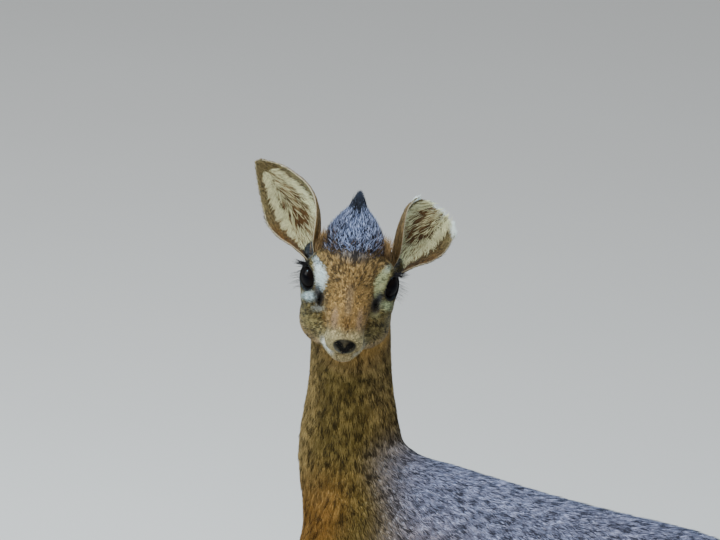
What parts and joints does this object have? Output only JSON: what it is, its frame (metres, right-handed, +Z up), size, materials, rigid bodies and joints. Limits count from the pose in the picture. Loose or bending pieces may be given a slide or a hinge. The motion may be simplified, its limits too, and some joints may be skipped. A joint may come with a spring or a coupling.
{
  "type": "standing dik dik figure",
  "caption": "Life-size dik dik standing with its head turned to its left, a pointed crown crest, large eyes, one whole ear and one torn ear.",
  "frame": {"origin": "on the floor, at the middle of the footprint of the whole model's bounding box", "axes": "+Z up, the body faces -Y, the animal's left side is +X and its head is turned towards +X"},
  "size_m": [0.166, 0.4328, 0.5917],
  "materials": {
    "grizzled_back": "short grizzled fur",
    "tawny_coat": "short tawny fur",
    "ear_skin": "thin haired skin",
    "crest_hair": "long dark erect hair",
    "eye_gloss": "wet gloss",
    "nose_skin": "bare moist skin",
    "hoof_horn": "worn horn"
  },
  "bodies": {
    "root": {"crest": "crest_hair", "dewclaw_foreleg_left_inner": "hoof_horn", "dewclaw_foreleg_left_outer": "hoof_horn", "dewclaw_foreleg_right_inner": "hoof_horn", "dewclaw_foreleg_right_outer": "hoof_horn", "dewclaw_hindleg_left_inner": "hoof_horn", "dewclaw_hindleg_left_outer": "hoof_horn", "dewclaw_hindleg_right_inner": "hoof_horn", "dewclaw_hindleg_right_outer": "hoof_horn", "ear_left": "ear_skin", "ear_right": "ear_skin", "eye_left": "eye_gloss", "eye_right": "eye_gloss", "foreleg_left_foot": "tawny_coat", "foreleg_left_lower": "tawny_coat", "foreleg_left_upper": "tawny_coat", "foreleg_right_foot": "tawny_coat", "foreleg_right_lower": "tawny_coat", "foreleg_right_upper": "tawny_coat", "head": "tawny_coat", "hindleg_left_foot": "tawny_coat", "hindleg_left_lower": "tawny_coat", "hindleg_left_upper": "tawny_coat", "hindleg_right_foot": "tawny_coat", "hindleg_right_lower": "tawny_coat", "hindleg_right_upper": "tawny_coat", "hoof_foreleg_left_inner": "hoof_horn", "hoof_foreleg_left_outer": "hoof_horn", "hoof_foreleg_right_inner": "hoof_horn", "hoof_foreleg_right_outer": "hoof_horn", "hoof_hindleg_left_inner": "hoof_horn", "hoof_hindleg_left_outer": "hoof_horn", "hoof_hindleg_right_inner": "hoof_horn", "hoof_hindleg_right_outer": "hoof_horn", "neck": "grizzled_back", "nose": "nose_skin", "tail": "grizzled_back", "torso": "grizzled_back"}
  },
  "joints": []
}
